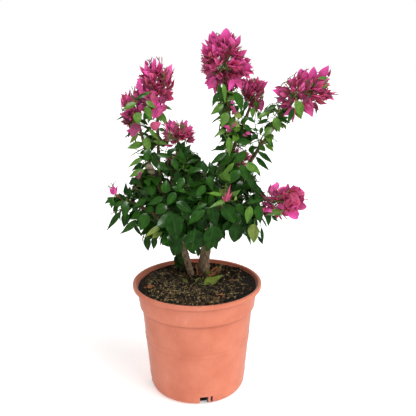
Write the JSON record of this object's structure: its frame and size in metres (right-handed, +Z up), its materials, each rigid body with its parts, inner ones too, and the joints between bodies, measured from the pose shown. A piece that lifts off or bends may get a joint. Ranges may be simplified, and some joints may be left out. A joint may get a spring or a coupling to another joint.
{
  "type": "potted bougainvillea bush",
  "caption": "Young bougainvillea bush with woody stems, rising leafy shoots and dense pink bract heads, standing in a round tapered plastic nursery pot.",
  "frame": {"origin": "centre of the flat underside of the pot, on the surface it stands on", "axes": "+Z up along the pot axis, +X to the right when looking at the best side of the bush, +Y away from that side"},
  "size_m": [0.41, 0.2833, 0.6538],
  "materials": {
    "pot_plastic": "moulded terracotta-coloured polypropylene, satin, with fine rings and light scuffs",
    "potting_mix": "moist peat and bark potting mix, rough, with tan chips",
    "bark": "grey-brown rough bark, paler on the younger shoots",
    "dead_wood": "dry red-brown dead stick",
    "leaves": "glossy dark green leaves, yellower green on the young shoots",
    "bracts": "thin matt magenta-pink bracts with fine veins"
  },
  "bodies": {
    "root": {"pot": "pot_plastic", "soil": "potting_mix", "stem_left": "bark", "stem_right": "bark", "bough_left": "bark", "bough_top": "bark", "bough_right_upper": "bark", "bough_right_low": "bark", "bough_left_low": "bark", "bough_centre_left": "bark", "bough_front": "bark", "bough_back_left": "bark", "bough_back_right": "bark", "shoot_left_outer": "bark", "shoot_left_inner": "bark", "shoot_mid": "bark", "dead_twig": "dead_wood", "foliage_front_left": "leaves", "foliage_front_right": "leaves", "foliage_left_tip": "leaves", "foliage_left_under": "leaves", "foliage_left_mid": "leaves", "foliage_left_upper": "leaves", "foliage_centre_left": "leaves", "foliage_centre": "leaves", "foliage_right_low": "leaves", "foliage_right": "leaves", "foliage_top_low": "leaves", "foliage_top_mid": "leaves", "foliage_top_high": "leaves", "foliage_right_upper": "leaves", "foliage_right_tip": "leaves", "foliage_back_left": "leaves", "foliage_back_right": "leaves", "foliage_back_centre": "leaves", "foliage_foot": "leaves", "bloom_top": "bracts", "bloom_left_top": "bracts", "bloom_left_outer": "bracts", "bloom_centre_left": "bracts", "bloom_mid": "bracts", "bloom_right": "bracts", "bloom_right_low": "bracts", "bloom_small_left": "bracts", "bloom_small_centre": "bracts", "bloom_back_left": "bracts", "bloom_back_right": "bracts"}
  },
  "joints": []
}
